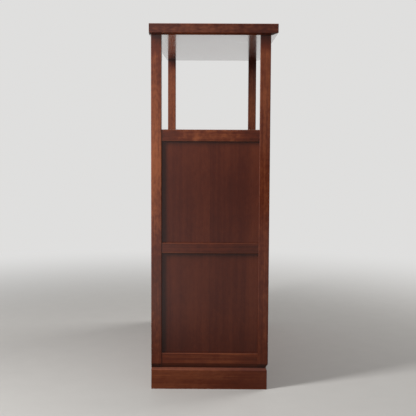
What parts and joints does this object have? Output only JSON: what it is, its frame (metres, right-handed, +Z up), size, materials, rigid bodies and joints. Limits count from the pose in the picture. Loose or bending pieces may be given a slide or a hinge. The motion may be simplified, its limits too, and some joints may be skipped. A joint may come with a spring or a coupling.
{
  "type": "korean display shelf",
  "caption": "Korean display shelf in red-brown lacquered wood: an open tier on slim posts over two closed tiers with paired doors, ring pulls and a plinth.",
  "frame": {"origin": "on the floor, under the middle of the top board", "axes": "+Z up, +Y from front to back, +X to the right of someone who faces the doors"},
  "size_m": [0.976, 0.361, 1.045],
  "materials": {
    "frame_wood": "gloss lacquer",
    "panel_wood": "satin lacquer",
    "board_wood": "gloss lacquer",
    "brass": "aged satin"
  },
  "bodies": {
    "carcass": {"top_board": "board_wood", "display_shelf": "board_wood", "middle_shelf": "board_wood", "bottom_board": "board_wood", "post_front_left": "frame_wood", "post_front_right": "frame_wood", "post_back_left": "frame_wood", "post_back_right": "frame_wood", "front_rail_top": "frame_wood", "front_rail_middle": "frame_wood", "front_rail_bottom": "frame_wood", "back_rail_top": "frame_wood", "back_rail_middle": "frame_wood", "back_rail_bottom": "frame_wood", "side_rail_top_left": "frame_wood", "side_rail_middle_left": "frame_wood", "side_rail_bottom_left": "frame_wood", "side_rail_top_right": "frame_wood", "side_rail_middle_right": "frame_wood", "side_rail_bottom_right": "frame_wood", "front_muntin_upper_left": "frame_wood", "front_muntin_upper_right": "frame_wood", "front_muntin_lower_left": "frame_wood", "front_muntin_lower_right": "frame_wood", "side_panel_upper_left": "panel_wood", "side_panel_upper_right": "panel_wood", "side_panel_lower_left": "panel_wood", "side_panel_lower_right": "panel_wood", "front_panel_upper_left": "panel_wood", "front_panel_upper_right": "panel_wood", "front_panel_lower_left": "panel_wood", "front_panel_lower_right": "panel_wood", "back_panel_upper": "panel_wood", "back_panel_lower": "panel_wood", "plinth_front": "frame_wood", "plinth_back": "frame_wood", "plinth_left": "frame_wood", "plinth_right": "frame_wood", "hinge_fixed_leaves": "brass", "hinge_pins": "brass"},
    "door_upper_left": {"door_frame_upper_left": "frame_wood", "door_panel_upper_left": "panel_wood", "hinge_door_leaves_upper_left": "brass", "pull_plate_upper_left": "brass"},
    "ring_upper_left": {"pull_ring_upper_left": "brass"},
    "door_upper_right": {"door_frame_upper_right": "frame_wood", "door_panel_upper_right": "panel_wood", "hinge_door_leaves_upper_right": "brass", "pull_plate_upper_right": "brass"},
    "ring_upper_right": {"pull_ring_upper_right": "brass"},
    "door_lower_left": {"door_frame_lower_left": "frame_wood", "door_panel_lower_left": "panel_wood", "hinge_door_leaves_lower_left": "brass", "pull_plate_lower_left": "brass"},
    "ring_lower_left": {"pull_ring_lower_left": "brass"},
    "door_lower_right": {"door_frame_lower_right": "frame_wood", "door_panel_lower_right": "panel_wood", "hinge_door_leaves_lower_right": "brass", "pull_plate_lower_right": "brass"},
    "ring_lower_right": {"pull_ring_lower_right": "brass"}
  },
  "joints": [
    {"name": "door_upper_left_swing", "type": "hinge", "parent": "carcass", "child": "door_upper_left", "pos_m": [-0.20525, -0.163, 0.573], "axis": [0, 0, -1], "range_deg": [0, 165]},
    {"name": "ring_upper_left_swing", "type": "hinge", "parent": "door_upper_left", "child": "ring_upper_left", "pos_m": [-0.018, -0.1675, 0.573], "axis": [-1, 0, 0], "range_deg": [0, 175]},
    {"name": "door_upper_right_swing", "type": "hinge", "parent": "carcass", "child": "door_upper_right", "pos_m": [0.20525, -0.163, 0.573], "axis": [0, 0, 1], "range_deg": [0, 165]},
    {"name": "ring_upper_right_swing", "type": "hinge", "parent": "door_upper_right", "child": "ring_upper_right", "pos_m": [0.018, -0.1675, 0.573], "axis": [-1, 0, 0], "range_deg": [0, 175]},
    {"name": "door_lower_left_swing", "type": "hinge", "parent": "carcass", "child": "door_lower_left", "pos_m": [-0.20525, -0.163, 0.25175], "axis": [0, 0, -1], "range_deg": [0, 165]},
    {"name": "ring_lower_left_swing", "type": "hinge", "parent": "door_lower_left", "child": "ring_lower_left", "pos_m": [-0.018, -0.1675, 0.25175], "axis": [-1, 0, 0], "range_deg": [0, 175]},
    {"name": "door_lower_right_swing", "type": "hinge", "parent": "carcass", "child": "door_lower_right", "pos_m": [0.20525, -0.163, 0.25175], "axis": [0, 0, 1], "range_deg": [0, 165]},
    {"name": "ring_lower_right_swing", "type": "hinge", "parent": "door_lower_right", "child": "ring_lower_right", "pos_m": [0.018, -0.1675, 0.25175], "axis": [-1, 0, 0], "range_deg": [0, 175]}
  ]
}
